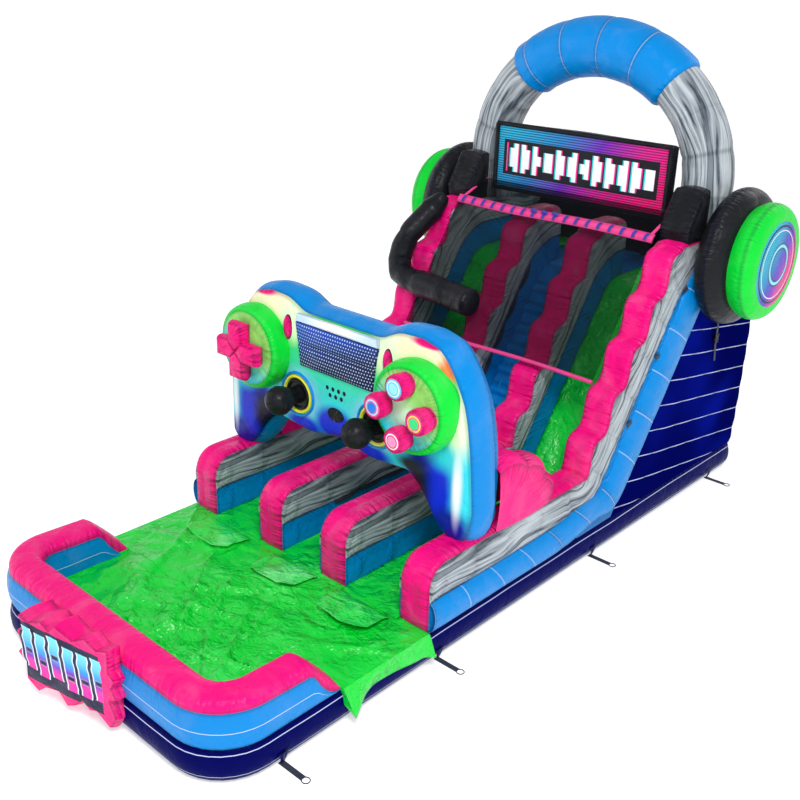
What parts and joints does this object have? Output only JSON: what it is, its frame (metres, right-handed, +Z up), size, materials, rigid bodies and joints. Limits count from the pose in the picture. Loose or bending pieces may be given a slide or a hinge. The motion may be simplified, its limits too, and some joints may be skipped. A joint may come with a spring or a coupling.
{
  "type": "inflatable water slide",
  "caption": "Inflatable water slide: side-by-side sloping lanes with a climb between them, splash pool, game-pad arch, headphones arch, netting and anchor straps.",
  "frame": {"origin": "on the ground, under the middle of the whole object's box", "axes": "+Z up; -Y towards the splash pool, +Y towards the tower; +X to the object's own right-hand side"},
  "size_m": [6.1612, 11.4206, 6.88],
  "materials": {
    "black_mesh": "open mesh, black",
    "black_vinyl": "semi-gloss coated fabric, black",
    "blue_vinyl": "semi-gloss coated fabric, sky blue",
    "green_vinyl": "semi-gloss coated fabric, bright green",
    "marble_vinyl": "semi-gloss coated fabric, grey marble print",
    "navy_vinyl": "semi-gloss coated fabric, dark navy",
    "pink_vinyl": "semi-gloss coated fabric, hot pink",
    "ring_steel": "plated steel",
    "webbing": "woven strap, dark",
    "zip_plastic": "moulded coil on woven tape, black"
  },
  "bodies": {
    "slide": {"arch_block_left": "black_vinyl", "arch_block_right": "black_vinyl", "arch_leg_left": "marble_vinyl", "arch_leg_right": "marble_vinyl", "arch_top_pad": "blue_vinyl", "banner_panel": "black_vinyl", "brace_pillow_left": "pink_vinyl", "brace_pillow_right": "pink_vinyl", "button_disc": "green_vinyl", "climbing_ramp": "blue_vinyl", "cross_disc": "green_vinyl", "deflation_zip_1": "zip_plastic", "deflation_zip_2": "zip_plastic", "direction_cross": "pink_vinyl", "ear_cap_left": "green_vinyl", "ear_cap_right": "green_vinyl", "ear_cushion_left": "black_vinyl", "ear_cushion_right": "black_vinyl", "front_sign": "pink_vinyl", "game_pad_body": "blue_vinyl", "game_pad_grip_left": "blue_vinyl", "game_pad_grip_right": "blue_vinyl", "ground_base": "navy_vinyl", "hand_hold_left": "webbing", "hand_hold_right": "webbing", "inflation_sleeve": "navy_vinyl", "lane_wall_left_inner": "marble_vinyl", "lane_wall_left_outer": "marble_vinyl", "lane_wall_right_inner": "marble_vinyl", "lane_wall_right_outer": "marble_vinyl", "microphone_boom": "black_vinyl", "pool_liner": "green_vinyl", "pool_wall": "pink_vinyl", "roof_net": "black_mesh", "round_button_bottom": "pink_vinyl", "round_button_inner": "pink_vinyl", "round_button_outer": "pink_vinyl", "round_button_top": "pink_vinyl", "side_tube_left": "blue_vinyl", "side_tube_right": "blue_vinyl", "slide_bed": "blue_vinyl", "slide_liner_left": "green_vinyl", "slide_liner_right": "green_vinyl", "slope_net": "black_mesh", "tower_body": "navy_vinyl"},
    "seam_flap_centre": {"seam_flap_centre": "green_vinyl"},
    "seam_flap_left": {"seam_flap_left": "green_vinyl"},
    "seam_flap_right": {"seam_flap_right": "green_vinyl"},
    "stake_strap_left_1": {"stake_strap_left_1": "webbing"},
    "stake_strap_left_2": {"stake_strap_left_2": "webbing"},
    "stake_strap_left_3": {"stake_strap_left_3": "webbing"},
    "stake_strap_left_4": {"stake_strap_left_4": "webbing"},
    "stake_strap_right_1": {"stake_strap_right_1": "webbing"},
    "stake_strap_right_2": {"stake_strap_right_2": "webbing"},
    "stake_strap_right_3": {"stake_strap_right_3": "webbing"},
    "stake_strap_right_4": {"stake_strap_right_4": "webbing"},
    "thumb_stick_left": {"thumb_stick_left": "black_vinyl"},
    "thumb_stick_right": {"thumb_stick_right": "black_vinyl"},
    "zip_slider_1": {"zip_slider_1": "ring_steel"},
    "zip_slider_2": {"zip_slider_2": "ring_steel"}
  },
  "joints": [
    {"name": "strap_right_1_fold", "type": "hinge", "parent": "slide", "child": "stake_strap_right_1", "pos_m": [2.1506, -4.48, 0], "axis": [0, -1, 0], "range_deg": [0, 60]},
    {"name": "strap_right_2_fold", "type": "hinge", "parent": "slide", "child": "stake_strap_right_2", "pos_m": [2.1506, -2.08, 0], "axis": [0, -1, 0], "range_deg": [0, 60]},
    {"name": "strap_right_3_fold", "type": "hinge", "parent": "slide", "child": "stake_strap_right_3", "pos_m": [2.1506, 1.17, 0], "axis": [0, -1, 0], "range_deg": [0, 60]},
    {"name": "strap_right_4_fold", "type": "hinge", "parent": "slide", "child": "stake_strap_right_4", "pos_m": [2.1506, 4.55, 0], "axis": [0, -1, 0], "range_deg": [0, 60]},
    {"name": "strap_left_1_fold", "type": "hinge", "parent": "slide", "child": "stake_strap_left_1", "pos_m": [-2.1506, -4.48, 0], "axis": [0, 1, 0], "range_deg": [0, 60]},
    {"name": "strap_left_2_fold", "type": "hinge", "parent": "slide", "child": "stake_strap_left_2", "pos_m": [-2.1506, -2.08, 0], "axis": [0, 1, 0], "range_deg": [0, 60]},
    {"name": "strap_left_3_fold", "type": "hinge", "parent": "slide", "child": "stake_strap_left_3", "pos_m": [-2.1506, 1.17, 0], "axis": [0, 1, 0], "range_deg": [0, 60]},
    {"name": "strap_left_4_fold", "type": "hinge", "parent": "slide", "child": "stake_strap_left_4", "pos_m": [-2.1506, 4.55, 0], "axis": [0, 1, 0], "range_deg": [0, 60]},
    {"name": "flap_left_lift", "type": "hinge", "parent": "slide", "child": "seam_flap_left", "pos_m": [-1.2585, -2.36, 0.4326], "axis": [-1, 0, 0], "range_deg": [0, 90]},
    {"name": "flap_centre_lift", "type": "hinge", "parent": "slide", "child": "seam_flap_centre", "pos_m": [0.05, -2.36, 0.4326], "axis": [-1, 0, 0], "range_deg": [0, 90]},
    {"name": "flap_right_lift", "type": "hinge", "parent": "slide", "child": "seam_flap_right", "pos_m": [1.2585, -2.36, 0.4326], "axis": [-1, 0, 0], "range_deg": [0, 90]},
    {"name": "stick_left_wobble", "type": "hinge", "parent": "slide", "child": "thumb_stick_left", "pos_m": [-0.69, -1.5603, 2.38], "axis": [1, 0, 0], "range_deg": [-12, 12], "stiffness_Nm_per_rad": 900},
    {"name": "stick_right_wobble", "type": "hinge", "parent": "slide", "child": "thumb_stick_right", "pos_m": [0.69, -1.5603, 2.38], "axis": [1, 0, 0], "range_deg": [-12, 12], "stiffness_Nm_per_rad": 900},
    {"name": "zip_1_pull", "type": "slide", "parent": "slide", "child": "zip_slider_1", "axis": [0, 0, 1], "range_m": [0, 0.24]},
    {"name": "zip_2_pull", "type": "slide", "parent": "slide", "child": "zip_slider_2", "axis": [0, 0, 1], "range_m": [0, 0.24]}
  ]
}
